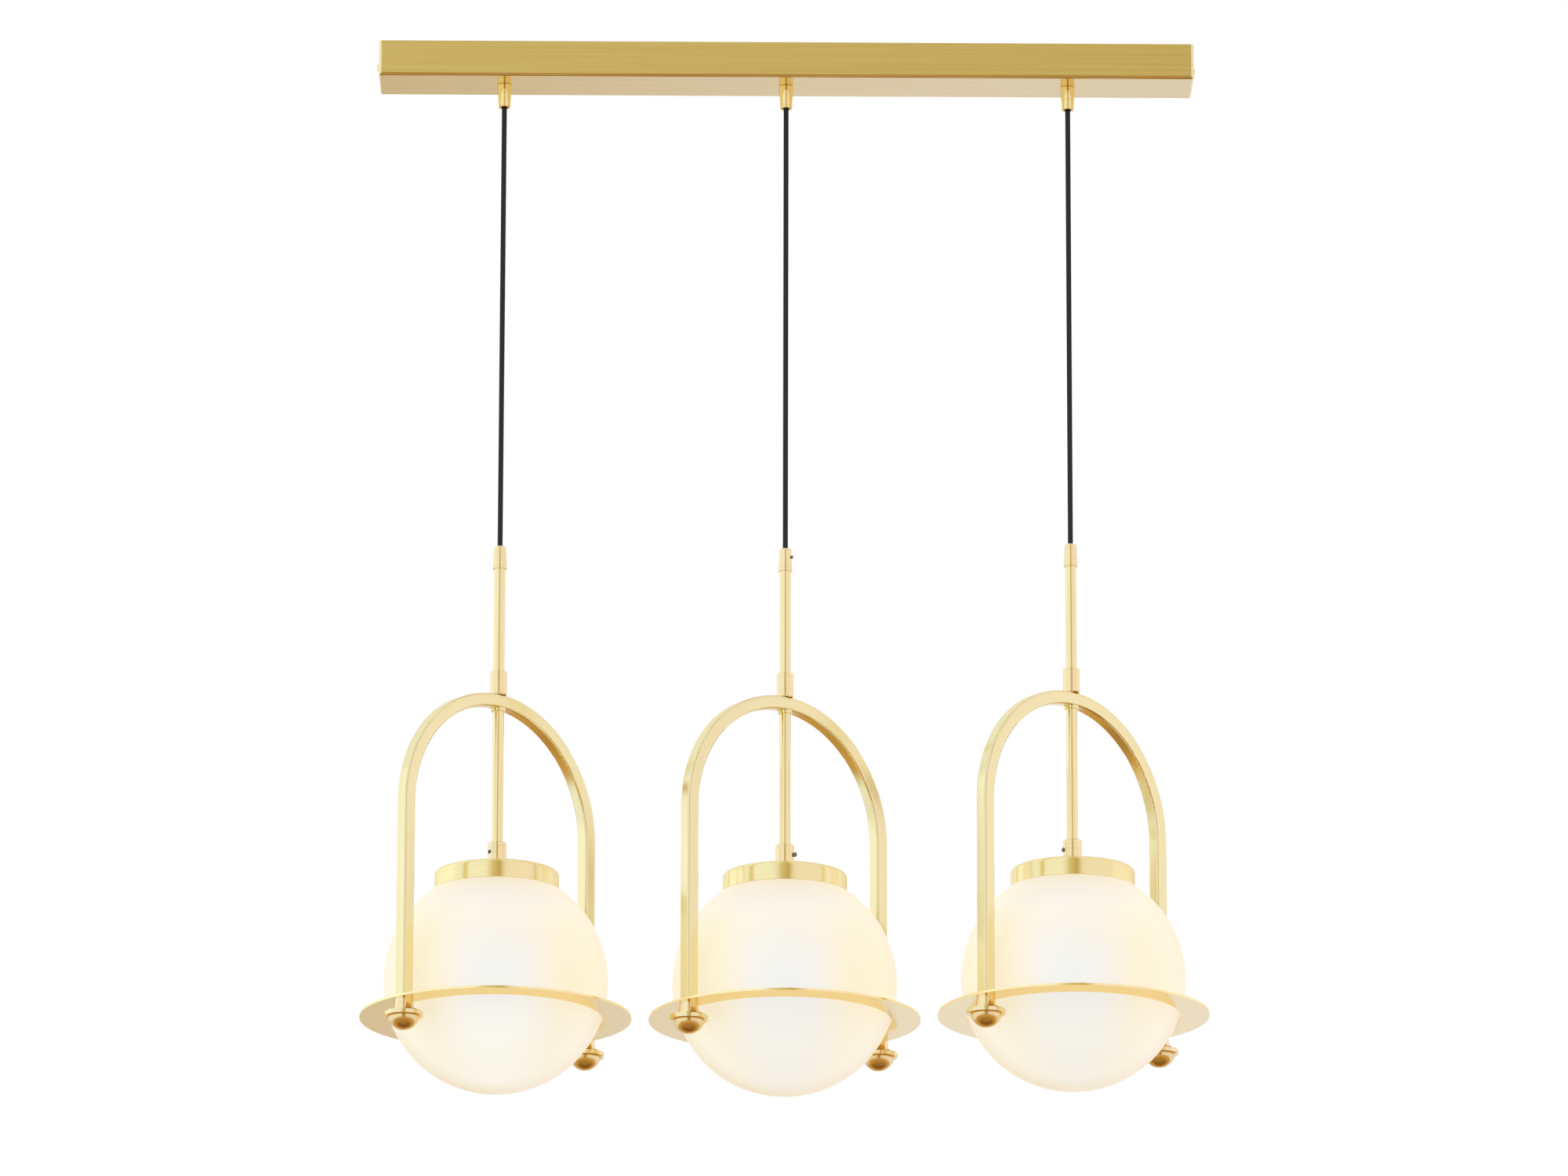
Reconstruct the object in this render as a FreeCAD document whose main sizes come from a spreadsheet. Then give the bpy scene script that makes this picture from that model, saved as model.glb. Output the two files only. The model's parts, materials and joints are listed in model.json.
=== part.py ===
# Linear island pendant: three opal globes on cords under one long brass bar.
# Millimetres, +Z up. The origin is on the ceiling, over the middle of the bar.
# The bar runs along X. Each lamp is drawn round the centre of its own globe and then placed.
import FreeCAD, Part
import math
import os
import re
import Sketcher
from FreeCAD import Placement, Rotation, Vector

doc = FreeCAD.newDocument("island_pendant")

# Driving sizes
driving_sizes = [
    ("bar_length", 741),
    ("bar_depth", 58.7),
    ("bar_height", 32.8),
    ("bar_wall", 1.5),
    ("bar_bend", 2.5),
    ("strap_width", 30),
    ("strap_thickness", 2),
    ("strap_bend", 4),
    ("strap_end_gap", 0.3),
    ("tab_length", 25),
    ("ceiling_hole_spacing", 560),
    ("box_hole_spacing", 60),
    ("ceiling_hole_radius", 2.75),
    ("cable_slot_length", 26),
    ("cable_slot_width", 14),
    ("end_screw_drop", 16.5),
    ("end_screw_radius", 2),
    ("end_screw_length", 12),
    ("dome_radius", 4),
    ("dome_height", 2.8),
    ("lamp_gap", 15.2),
    ("sleeve_length", 21.7),
    ("sleeve_top_radius", 6.4),
    ("sleeve_end_radius", 5.5),
    ("shank_radius", 5),
    ("shank_end", 2),
    ("nut_height", 4),
    ("nut_corner_radius", 8.1),
    ("cord_radius", 2.3),
    ("cord_length", 417),
    ("cord_shorter_left", 1),
    ("cord_shorter_middle", 0),
    ("cord_shorter_right", 5.5),
    ("mouth_depth", 2),
    ("cap_mouth_depth", 2.5),
    ("swing_angle", 30),
    ("lead_bend", 15),
    ("lead_level", 9),
    ("lead_spread", 6.5),
    ("lead_drop_start", 55),
    ("lead_drop_end", 20),
    ("block_near_end", 90),
    ("block_length", 34),
    ("block_width", 22),
    ("block_height", 14),
    ("block_well_radius", 2),
    ("block_well_depth", 5),
    ("block_entry_height", 7),
    ("earth_stud_place", 50),
    ("earth_stud_inset", 11.5),
    ("earth_stud_radius", 2),
    ("earth_stud_height", 11),
    ("earth_nut_radius", 4),
    ("earth_nut_height", 3.2),
    ("arch_angle_left", 44.9),
    ("arch_angle_middle", 40.4),
    ("arch_angle_right", 44.2),
    ("coupler_screw_angle_left", 217),
    ("coupler_screw_angle_middle", 342),
    ("coupler_screw_angle_right", 197),
    ("cap_screw_angle_left", 120),
    ("cap_screw_angle_middle", 340),
    ("cap_screw_angle_right", 60),
    ("globe_radius", 100),
    ("glass_wall", 3),
    ("globe_neck_radius", 45),
    ("globe_shoulder_reach", 1),
    ("globe_shoulder_rise", 1.5),
    ("ring_drop", 31.6),
    ("ring_thickness", 2),
    ("ring_margin", 9.2),
    ("leg_length", 177.4),
    ("leg_gap", 5.5),
    ("tube_side", 12),
    ("tube_wall", 1.2),
    ("tube_corner", 2),
    ("leg_plug_depth", 16),
    ("arch_coupler_wall", 2.45),
    ("arch_coupler_height", 22.5),
    ("spigot_grip", 10),
    ("stem_radius", 5),
    ("stem_wall", 1),
    ("stem_reach", 95.3),
    ("stem_flange_lip", 1.6),
    ("stem_flange_height", 2.5),
    ("socket_depth", 10),
    ("cap_wall", 1.2),
    ("cap_taper", 0.9),
    ("cap_height", 20.6),
    ("cap_screw_rise", 13),
    ("cap_screw_radius", 1.5),
    ("gallery_coupler_wall", 3.25),
    ("gallery_coupler_height", 27.4),
    ("coupler_socket_depth", 15),
    ("coupler_screw_rise", 18.1),
    ("coupler_screw_radius", 2),
    ("screw_recess", 0.5),
    ("gallery_reach", 10.5),
    ("gallery_height", 16.9),
    ("gallery_wall", 1.5),
    ("gallery_round", 3.5),
    ("gallery_spigot_radius", 4.95),
    ("gallery_spigot_length", 8),
    ("holder_radius", 19),
    ("holder_neck_radius", 11),
    ("holder_length", 54),
    ("holder_bore_radius", 13.3),
    ("holder_bore_depth", 27),
    ("bulb_cap_radius", 13),
    ("bulb_cap_depth", 24),
    ("bulb_length", 105),
    ("bulb_radius", 30),
    ("bulb_collar_radius", 15.5),
    ("bulb_wall", 1.2),
    ("bulb_shoulder_angle", 18.4),
    ("neck_top_radius", 8.3),
    ("neck_land", 1.2),
    ("neck_groove", 0.4),
    ("neck_end_radius", 10.4),
    ("neck_length", 12),
    ("neck_curve_radius", 22),
    ("collar_radius", 17),
    ("collar_height", 5.1),
    ("ball_radius", 13.8),
    ("ball_depth", 11.4),
    ("ball_seam", 0.5),
    ("ball_screw_radius", 2.45),
    ("ball_screw_grip", 12),
    ("fit_gap", 0.05),
    ("lead_gap", 0.1),
    ("seat_gap", 0.3),
    ("edge_break", 0.8),
]
sheet = doc.addObject("Spreadsheet::Sheet", "Sizes")
for row, (alias, amount) in enumerate(driving_sizes, 1):
    sheet.set("A%d" % row, alias)
    sheet.set("B%d" % row, str(amount))
    sheet.setAlias("B%d" % row, alias)
doc.recompute()
aliases = {alias for alias, amount in driving_sizes}

# Sizes that follow from the driving ones. Levels in a lamp count from its globe's centre.
worked_out = {
    "arch_radius": "globe_radius + leg_gap + tube_side / 2",
    "ring_radius": "arch_radius + ring_margin",
    "pendant_spacing": "ring_radius * 2 + lamp_gap",
    "gallery_radius": "globe_neck_radius + gallery_reach",
    "stem_bore_radius": "stem_radius - stem_wall",
    "spigot_radius": "stem_bore_radius - fit_gap",
    "stem_flange_radius": "stem_radius + stem_flange_lip",
    "arch_coupler_radius": "stem_radius + fit_gap + arch_coupler_wall",
    "cap_radius": "stem_radius + fit_gap + cap_wall",
    "gallery_coupler_radius": "stem_radius + fit_gap + gallery_coupler_wall",
    "bar_floor": "bar_wall - bar_height",
    "strap_half": "bar_length / 2 - bar_wall - strap_end_gap",
    "mouth_level": "0 - bar_height - sleeve_length",
    "grip_pivot": "mouth_level + mouth_depth",
    "flare_neck": "(cord_radius + seat_gap) / cos(swing_angle * 1deg)",
    "grip_mouth_radius": "flare_neck + mouth_depth * tan(swing_angle * 1deg)",
    "cap_mouth_radius": "flare_neck + cap_mouth_depth * tan(swing_angle * 1deg)",
    "lead_hole": "cord_radius + lead_gap",
    "shank_top": "bar_floor + nut_height + shank_end",
    "lead_start": "grip_pivot + cord_radius + seat_gap",
    "block_entry": "bar_floor + block_entry_height",
    "ring_top": "0 - ring_drop",
    "ring_foot": "ring_top - ring_thickness",
    "ring_bore": "sqrt((globe_radius + seat_gap)^2 - ring_drop^2)",
    "springing": "ring_top + leg_length",
    "crown_top": "springing + arch_radius + tube_side / 2",
    "crown_inside": "springing + arch_radius - tube_side / 2",
    "flange_seat": "springing + sqrt((arch_radius - tube_side / 2)^2 - stem_flange_radius^2)",
    "arch_coupler_top": "crown_top + arch_coupler_height",
    "cap_foot": "arch_coupler_top + stem_reach",
    "cap_top": "cap_foot + cap_height",
    "cap_pivot": "cap_top - cap_mouth_depth",
    "cap_socket_top": "cap_foot + socket_depth + seat_gap",
    "inner_lead_top": "cap_pivot - cord_radius - seat_gap",
    "shoulder_radius": "gallery_radius + globe_shoulder_reach",
    "shoulder_level": "sqrt(globe_radius^2 - shoulder_radius^2)",
    "shoulder_slope": "globe_shoulder_rise / (shoulder_radius - globe_neck_radius)",
    "gallery_foot": "shoulder_level + shoulder_slope * (globe_shoulder_reach + gallery_wall) + seat_gap",
    "gallery_top": "gallery_foot + gallery_height",
    "gallery_under": "gallery_top - gallery_wall",
    "gallery_coupler_top": "gallery_top + gallery_coupler_height",
    "coupler_socket_foot": "gallery_coupler_top - coupler_socket_depth",
    "gallery_spigot_foot": "gallery_under - gallery_spigot_length",
    "globe_neck_top": "gallery_under - seat_gap",
    "holder_foot": "gallery_under - holder_length",
    "holder_web_top": "gallery_spigot_foot - 1",
    "holder_bore_top": "holder_foot + holder_bore_depth",
    "bulb_top": "holder_foot + bulb_cap_depth",
    "bulb_tip": "bulb_top - bulb_length",
    "bulb_middle": "bulb_tip + bulb_radius",
    "neck_foot": "ring_foot - neck_length",
    "collar_foot": "neck_foot - collar_height",
    "ball_curve_radius": "(ball_radius^2 + (ball_depth - ball_seam)^2) / (2 * (ball_depth - ball_seam))",
    "plug_hole_radius": "ball_screw_radius + fit_gap",
}
word = re.compile(r"[a-z]+(?:_[a-z]+)*")


def spell(text):
    """The text as an expression: each size's name becomes its cell or its own formula."""

    def swap(match):
        name = match.group(0)
        if name in worked_out:
            return "(" + spell(worked_out[name]) + ")"
        if name in aliases:
            return "Sizes." + name
        return name

    return word.sub(swap, str(text))


def number(text):
    """What the text comes to in millimetres or degrees."""
    return float(sheet.evalExpression(spell(text)))


def bind(thing, prop, text):
    """Ties a property to the sheet."""
    thing.setExpression(prop, spell(text))


def new_body(label):
    body = doc.addObject("PartDesign::Body", label)
    body.Label = label
    return body


def new_sketch(body, role, level=None):
    """A sketch on one of the body's own planes, moved along its normal to a level."""
    sketch = body.newObject("Sketcher::SketchObject", body.Name + "_sketch")
    plane = next(item for item in body.Origin.OriginFeatures if item.Role == role)
    sketch.AttachmentSupport = [(plane, "")]
    sketch.MapMode = "FlatFace"
    if level is not None:
        bind(sketch, "AttachmentOffset.Base.z", level)
    return sketch


def fix_point(sketch, geometry, position, across, up):
    """Holds one point of a sketch at a distance across and up from the origin."""
    for kind, axis, text in (("DistanceX", -2, across), ("DistanceY", -1, up)):
        if text is None:
            continue
        amount = number(text)
        if text == "0":
            sketch.addConstraint(Sketcher.Constraint("PointOnObject", geometry, position, axis))
            continue
        place = sketch.addConstraint(Sketcher.Constraint(kind, -1, 1, geometry, position, amount))
        sketch.setExpression("Constraints[%d]" % place, spell(text))


def fix_radius(sketch, geometry, text):
    place = sketch.addConstraint(Sketcher.Constraint("Radius", geometry, number(text)))
    sketch.setExpression("Constraints[%d]" % place, spell(text))


def draw_circle(sketch, across, up, radius):
    centre = Vector(number(across), number(up), 0)
    ring = sketch.addGeometry(Part.Circle(centre, Vector(0, 0, 1), number(radius)), False)
    fix_point(sketch, ring, 3, across, up)
    fix_radius(sketch, ring, radius)


def draw_outline(sketch, corners):
    """A closed outline. A corner is (across, up), or (across, up, radius, "left" or "right")
    where the way to it from the corner before is an arc that turns to that side."""
    spots = [Vector(number(corner[0]), number(corner[1]), 0) for corner in corners]
    ends = []
    for index, corner in enumerate(corners):
        start = spots[index - 1]
        stop = spots[index]
        if len(corner) == 2:
            edge = sketch.addGeometry(Part.LineSegment(start, stop), False)
            ends.append((edge, 1, 2))
            continue
        radius = number(corner[2])
        side = 1 if corner[3] == "left" else -1
        chord = stop - start
        across = Vector(-chord.y, chord.x, 0).normalize() * side
        centre = (start + stop) * 0.5 + across * math.sqrt(radius ** 2 - chord.Length ** 2 / 4)
        first, last = (start, stop) if side == 1 else (stop, start)
        angles = [math.atan2(spot.y - centre.y, spot.x - centre.x) for spot in (first, last)]
        if angles[1] < angles[0]:
            angles[1] += 2 * math.pi
        circle = Part.Circle(centre, Vector(0, 0, 1), radius)
        edge = sketch.addGeometry(Part.ArcOfCircle(circle, angles[0], angles[1]), False)
        fix_radius(sketch, edge, corner[2])
        ends.append((edge, 1, 2) if side == 1 else (edge, 2, 1))
    for index, corner in enumerate(corners):
        edge, start, stop = ends[index]
        following = ends[(index + 1) % len(ends)]
        sketch.addConstraint(Sketcher.Constraint("Coincident", edge, stop, following[0], following[1]))
        fix_point(sketch, edge, stop, corner[0], corner[1])


def rectangle(left, low, right, high):
    return [(left, low), (right, low), (right, high), (left, high)]


def turned(label, corners):
    """A piece turned about its own Z axis from an outline on the XZ plane."""
    body = new_body(label)
    sketch = new_sketch(body, "XZ_Plane")
    draw_outline(sketch, corners)
    spin = body.newObject("PartDesign::Revolution", label + "_turned")
    spin.Profile = sketch
    spin.ReferenceAxis = (sketch, ["V_Axis"])
    spin.Angle = 360
    return body


def padded(body, sketch, length, back=False, both=False):
    pad = body.newObject("PartDesign::Pad", body.Name + "_pad")
    pad.Profile = sketch
    pad.Reversed = back
    pad.SideType = "Symmetric" if both else "One side"
    bind(pad, "Length", length)
    doc.recompute()
    return pad


def cut(body, sketch, length, back=False, both=False):
    """A pocket, which has to take something away."""
    before = body.Shape.Volume
    pocket = body.newObject("PartDesign::Pocket", body.Name + "_pocket")
    pocket.Profile = sketch
    pocket.Reversed = back
    pocket.SideType = "Symmetric" if both else "One side"
    bind(pocket, "Length", length)
    doc.recompute()
    if body.Shape.Volume > before - 0.1:
        raise RuntimeError(body.Label + ": a pocket took nothing away")
    return pocket


def round_edges(body, radius, wanted):
    """Rounds the edges of the body's last feature that pass a test."""
    base = body.Tip
    names = [
        "Edge%d" % (place + 1)
        for place, edge in enumerate(base.Shape.Edges)
        if wanted(edge)
    ]
    if not names:
        raise RuntimeError(body.Label + ": no edge to round")
    fillet = body.newObject("PartDesign::Fillet", body.Name + "_round")
    fillet.Base = (base, names)
    bind(fillet, "Radius", radius)
    doc.recompute()


def repeat_along(body, feature, sketch, direction, length, count):
    """Copies of a feature at even steps along an axis of its sketch."""
    pattern = body.newObject("PartDesign::LinearPattern", body.Name + "_row")
    pattern.Originals = [feature]
    pattern.Direction = (sketch, [direction])
    bind(pattern, "Length", length)
    pattern.Occurrences = count
    body.Tip = pattern
    doc.recompute()


def group(label, members):
    """Like pieces that share one node, as separate solids."""
    together = doc.addObject("Part::Compound", label)
    together.Label = label
    together.Links = members
    return together


def put(piece, across, up, angle=None, side="0"):
    """Places a piece, turned about Z."""
    if angle is not None:
        piece.Placement = Placement(Vector(0, 0, 0), Rotation(Vector(0, 0, 1), number(angle)))
        bind(piece, "Placement.Rotation.Angle", "(" + str(angle) + ") * 1deg")
    bind(piece, "Placement.Base.x", across)
    bind(piece, "Placement.Base.y", side)
    bind(piece, "Placement.Base.z", up)


sub_parts = []

# Ceiling bracket: one steel strip with both ends bent down
bracket = new_body("ceiling_bracket")
strip = new_sketch(bracket, "XZ_Plane")
inner_bend = "strap_bend - strap_thickness"
draw_outline(strip, [
    ("0 - strap_half", "0 - tab_length"),
    ("strap_thickness - strap_half", "0 - tab_length"),
    ("strap_thickness - strap_half", "0 - strap_bend"),
    ("strap_bend - strap_half", "0 - strap_thickness", inner_bend, "right"),
    ("strap_half - strap_bend", "0 - strap_thickness"),
    ("strap_half - strap_thickness", "0 - strap_bend", inner_bend, "right"),
    ("strap_half - strap_thickness", "0 - tab_length"),
    ("strap_half", "0 - tab_length"),
    ("strap_half", "0 - strap_bend"),
    ("strap_half - strap_bend", "0", "strap_bend", "left"),
    ("strap_bend - strap_half", "0"),
    ("0 - strap_half", "0 - strap_bend", "strap_bend", "left"),
])
padded(bracket, strip, "strap_width", both=True)
for spacing in ("ceiling_hole_spacing", "box_hole_spacing"):
    hole = new_sketch(bracket, "XY_Plane")
    draw_circle(hole, "0 - %s / 2" % spacing, "0", "ceiling_hole_radius")
    drilled = cut(bracket, hole, "strap_thickness * 4", both=True)
    repeat_along(bracket, drilled, hole, "H_Axis", spacing, 2)
slot = new_sketch(bracket, "XY_Plane")
slot_run = "(cable_slot_length - cable_slot_width) / 2"
slot_side = "cable_slot_width / 2"
draw_outline(slot, [
    (slot_run, "0 - " + slot_side),
    ("cable_slot_length / 2", "0", slot_side, "left"),
    (slot_run, slot_side, slot_side, "left"),
    ("0 - " + slot_run, slot_side),
    ("0 - cable_slot_length / 2", "0", slot_side, "left"),
    ("0 - " + slot_run, "0 - " + slot_side, slot_side, "left"),
])
cut(bracket, slot, "strap_thickness * 4", both=True)
tab_hole = new_sketch(bracket, "YZ_Plane")
draw_circle(tab_hole, "0", "0 - end_screw_drop", "end_screw_radius + fit_gap")
cut(bracket, tab_hole, "bar_length", both=True)
sub_parts.append(bracket)

# Ceiling bar: a folded box, open at the top
bar = new_body("ceiling_bar")
footprint = new_sketch(bar, "XY_Plane")
draw_outline(footprint, rectangle("0 - bar_length / 2", "0 - bar_depth / 2", "bar_length / 2", "bar_depth / 2"))
padded(bar, footprint, "bar_height", back=True)
round_edges(bar, "bar_bend", lambda edge: edge.BoundBox.ZMin < -0.1)
hollow = new_sketch(bar, "XY_Plane")
inside_length = "(bar_length / 2 - bar_wall)"
inside_depth = "(bar_depth / 2 - bar_wall)"
draw_outline(hollow, rectangle("0 - " + inside_length, "0 - " + inside_depth, inside_length, inside_depth))
cut(bar, hollow, "bar_height - bar_wall")
grip_hole = new_sketch(bar, "XY_Plane")
draw_circle(grip_hole, "0 - pendant_spacing", "0", "shank_radius + fit_gap")
bored = cut(bar, grip_hole, "bar_height + 1")
repeat_along(bar, bored, grip_hole, "H_Axis", "pendant_spacing * 2", 3)
end_hole = new_sketch(bar, "YZ_Plane")
draw_circle(end_hole, "0", "0 - end_screw_drop", "end_screw_radius + fit_gap")
cut(bar, end_hole, "bar_length + 2", both=True)
sub_parts.append(bar)

# End screws: a domed head against each end of the bar, and a shank into the strap
dome_curve = "(dome_radius^2 + dome_height^2) / (2 * dome_height)"
end_screws = []
for name, turn in (("end_screw_left", -90), ("end_screw_right", 90)):
    screw = turned(name, [
        ("0", "0 - end_screw_length"),
        ("end_screw_radius", "0 - end_screw_length"),
        ("end_screw_radius", "0"),
        ("dome_radius", "0"),
        ("0", "dome_height", dome_curve, "left"),
    ])
    screw.Placement = Placement(Vector(0, 0, 0), Rotation(Vector(0, 1, 0), turn))
    bind(screw, "Placement.Base.x", "bar_length / 2 * %d" % (1 if turn > 0 else -1))
    bind(screw, "Placement.Base.z", "0 - end_screw_drop")
    end_screws.append(screw)
sub_parts.append(group("end_screws", end_screws))

# Cord grips: a tapered sleeve under the bar, a threaded shank through it and a flared mouth
sides = [("left", "0 - pendant_spacing"), ("middle", "0"), ("right", "pendant_spacing")]
grips = []
nuts = []
for side, across in sides:
    grip = turned("grip_" + side, [
        ("grip_mouth_radius", "mouth_level"),
        ("sleeve_end_radius - edge_break / 2", "mouth_level"),
        ("sleeve_end_radius", "mouth_level + edge_break / 2"),
        ("sleeve_top_radius", "0 - bar_height - edge_break / 2"),
        ("sleeve_top_radius - edge_break / 2", "0 - bar_height"),
        ("shank_radius", "0 - bar_height"),
        ("shank_radius", "shank_top"),
        ("lead_hole", "shank_top"),
        ("lead_hole", "lead_start"),
        ("flare_neck", "lead_start"),
        ("flare_neck", "grip_pivot"),
    ])
    put(grip, across, "0")
    grips.append(grip)
    blank = doc.addObject("Part::Prism", "nut_blank_" + side)
    blank.Polygon = 6
    bind(blank, "Circumradius", "nut_corner_radius")
    bind(blank, "Height", "nut_height")
    put(blank, across, "bar_floor")
    thread = doc.addObject("Part::Cylinder", "nut_thread_" + side)
    bind(thread, "Radius", "shank_radius + fit_gap")
    bind(thread, "Height", "nut_height * 3")
    put(thread, across, "bar_floor - nut_height")
    nut = doc.addObject("Part::Cut", "nut_" + side)
    nut.Base = blank
    nut.Tool = thread
    nuts.append(nut)
sub_parts.append(group("cord_grips", grips))
sub_parts.append(group("grip_nuts", nuts))

# Terminal block, on the floor of the bar beside the middle grip
block = new_body("terminal_block")
block_foot = new_sketch(block, "XY_Plane")
draw_outline(block_foot, rectangle("0", "0 - block_width / 2", "block_length", "block_width / 2"))
padded(block, block_foot, "block_height")
round_edges(block, "edge_break", lambda edge: edge.BoundBox.ZMin > number("block_height") - 0.1)
well = new_sketch(block, "XY_Plane", "block_height")
draw_circle(well, "block_length / 2", "0 - lead_spread", "block_well_radius")
sunk = cut(block, well, "block_well_depth")
repeat_along(block, sunk, well, "V_Axis", "lead_spread * 2", 3)
put(block, "block_near_end", "bar_floor")
sub_parts.append(block)

# Earth stud with its nut, brazed to the floor of the bar
stud = doc.addObject("Part::Cylinder", "earth_stud_rod")
bind(stud, "Radius", "earth_stud_radius")
bind(stud, "Height", "earth_stud_height")
stud_nut = doc.addObject("Part::Prism", "earth_stud_nut")
stud_nut.Polygon = 6
bind(stud_nut, "Circumradius", "earth_nut_radius")
bind(stud_nut, "Height", "earth_nut_height")
earth = doc.addObject("Part::Fuse", "earth_stud")
earth.Label = "earth_stud"
earth.Base = stud
earth.Tool = stud_nut
put(earth, "earth_stud_place", "bar_floor", side="bar_depth / 2 - earth_stud_inset")
sub_parts.append(earth)


def tube_along(points, bends, radius):
    """A round tube along straight runs joined by tangent arcs."""
    edges = []
    start = points[0]
    for before, corner, after, bend in zip(points, points[1:], points[2:], bends):
        inward = (corner - before).normalize()
        outward = (after - corner).normalize()
        half_turn = inward.getAngle(outward) / 2
        reach = bend * math.tan(half_turn)
        arc_start = corner - inward * reach
        arc_stop = corner + outward * reach
        middle = corner + (outward - inward).normalize() * bend * (1 / math.cos(half_turn) - 1)
        edges.append(Part.LineSegment(start, arc_start).toShape())
        edges.append(Part.Arc(arc_start, middle, arc_stop).toShape())
        start = arc_stop
    edges.append(Part.LineSegment(start, points[-1]).toShape())
    path = Part.Wire(edges)
    section = Part.Wire(Part.Circle(points[0], points[1] - points[0], radius).toShape())
    tube = path.makePipeShell([section], True, False)
    wanted = math.pi * radius ** 2 * path.Length
    if abs(tube.Volume / wanted - 1) > 0.01:
        raise RuntimeError("a lead's volume is not its section times its length")
    return tube


# Leads inside the bar: up from each grip, along under the strap, down into the block
lead_radius = number("cord_radius")
lead_high = -number("lead_level")
entry = number("block_entry")
near_end = number("block_near_end")
far_end = near_end + number("block_length")
spread = number("lead_spread")
drop_start = number("lead_drop_start")
drop_end = number("lead_drop_end")
routes = (
    (number("0 - pendant_spacing"), near_end, -spread, -1),
    (0, near_end, spread, -1),
    (number("pendant_spacing"), far_end, 0, 1),
)
lead_tubes = []
for grip_x, block_x, block_y, away in routes:
    points = [
        Vector(grip_x, 0, number("lead_start")),
        Vector(grip_x, 0, lead_high),
        Vector(block_x + away * drop_start, block_y, lead_high),
        Vector(block_x + away * drop_end, block_y, entry),
        Vector(block_x, block_y, entry),
    ]
    bends = [number("lead_bend")] * 3
    lead_tubes.append(tube_along(points, bends, lead_radius))
leads = doc.addObject("Part::Feature", "supply_leads")
leads.Label = "supply_leads"
leads.Shape = Part.makeCompound(lead_tubes)
leads.Placement = Placement()
sub_parts.append(leads)


def make_cord(side):
    """The free stretch of cord, round-ended where it bends at the grip and at the cap."""
    run = "(cord_length - cord_shorter_%s + mouth_depth + cap_mouth_depth)" % side
    return turned(side + "_cord", [
        ("0", "0 - cord_radius - " + run),
        ("cord_radius", "0 - " + run, "cord_radius", "left"),
        ("cord_radius", "0"),
        ("0", "cord_radius", "cord_radius", "left"),
    ])


def make_cap(side):
    """Stem cap: a flared mouth for the cord above, a socket for the stem below."""
    cap = turned(side + "_stem_cap", [
        ("stem_radius + fit_gap", "cap_foot"),
        ("cap_radius", "cap_foot"),
        ("cap_radius - cap_taper", "cap_top - edge_break"),
        ("cap_radius - cap_taper - edge_break / 2", "cap_top"),
        ("cap_mouth_radius", "cap_top"),
        ("flare_neck", "cap_pivot"),
        ("flare_neck", "inner_lead_top"),
        ("lead_hole", "inner_lead_top"),
        ("lead_hole", "cap_socket_top"),
        ("stem_radius + fit_gap", "cap_socket_top"),
    ])
    doc.recompute()
    hole = new_sketch(cap, "YZ_Plane")
    draw_circle(hole, "0", "cap_foot + cap_screw_rise", "cap_screw_radius + fit_gap")
    cut(cap, hole, "cap_radius + 1", back=True)
    return cap


def make_side_screw(label, level, radius, inner_end, outer_end):
    """A set screw that lies along X, from its inner end to its outer one."""
    screw = new_body(label)
    end = new_sketch(screw, "YZ_Plane", inner_end)
    draw_circle(end, "0", level, radius)
    padded(screw, end, "(%s) - (%s)" % (outer_end, inner_end))
    return screw


def make_arch(side):
    """Arch: square tube bent to a half circle, with brazed plugs in the ends of its legs."""
    arch = new_body(side + "_arch")
    path = new_sketch(arch, "XZ_Plane")
    reach = number("arch_radius")
    foot = number("ring_top")
    spring = number("springing")
    near_leg = path.addGeometry(Part.LineSegment(Vector(-reach, foot, 0), Vector(-reach, spring, 0)), False)
    circle = Part.Circle(Vector(0, spring, 0), Vector(0, 0, 1), reach)
    bend = path.addGeometry(Part.ArcOfCircle(circle, 0, math.pi), False)
    far_leg = path.addGeometry(Part.LineSegment(Vector(reach, spring, 0), Vector(reach, foot, 0)), False)
    path.addConstraint(Sketcher.Constraint("Coincident", near_leg, 2, bend, 2))
    path.addConstraint(Sketcher.Constraint("Coincident", far_leg, 1, bend, 1))
    path.addConstraint(Sketcher.Constraint("Vertical", near_leg))
    path.addConstraint(Sketcher.Constraint("Vertical", far_leg))
    fix_point(path, bend, 3, "0", "springing")
    fix_point(path, bend, 2, "0 - arch_radius", "springing")
    fix_point(path, bend, 1, None, "springing")
    fix_point(path, near_leg, 1, None, "ring_top")
    fix_point(path, far_leg, 2, None, "ring_top")
    outer = new_sketch(arch, "XY_Plane", "ring_top")
    draw_square(outer, "0 - arch_radius", "tube_side / 2", "tube_corner")
    tube = arch.newObject("PartDesign::AdditivePipe", arch.Name + "_tube")
    tube.Profile = outer
    tube.Spine = (path, ["Edge1", "Edge2", "Edge3"])
    inner = new_sketch(arch, "XY_Plane", "ring_top")
    draw_outline(inner, square_at("0 - arch_radius", "(tube_side / 2 - tube_wall)"))
    bore = arch.newObject("PartDesign::SubtractivePipe", arch.Name + "_bore")
    bore.Profile = inner
    bore.Spine = (path, ["Edge1", "Edge2", "Edge3"])
    doc.recompute()
    for leg in ("0 - arch_radius", "arch_radius"):
        plug = new_sketch(arch, "XY_Plane", "ring_top")
        draw_outline(plug, square_at(leg, "(tube_side / 2 - tube_wall)"))
        padded(arch, plug, "leg_plug_depth")
        thread = new_sketch(arch, "XY_Plane", "ring_top")
        draw_circle(thread, leg, "0", "plug_hole_radius")
        cut(arch, thread, "ball_screw_grip + seat_gap", back=True)
    crown = new_sketch(arch, "XY_Plane", "springing + arch_radius")
    draw_circle(crown, "0", "0", "spigot_radius + fit_gap")
    cut(arch, crown, "tube_side * 2", both=True)
    return arch


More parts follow.
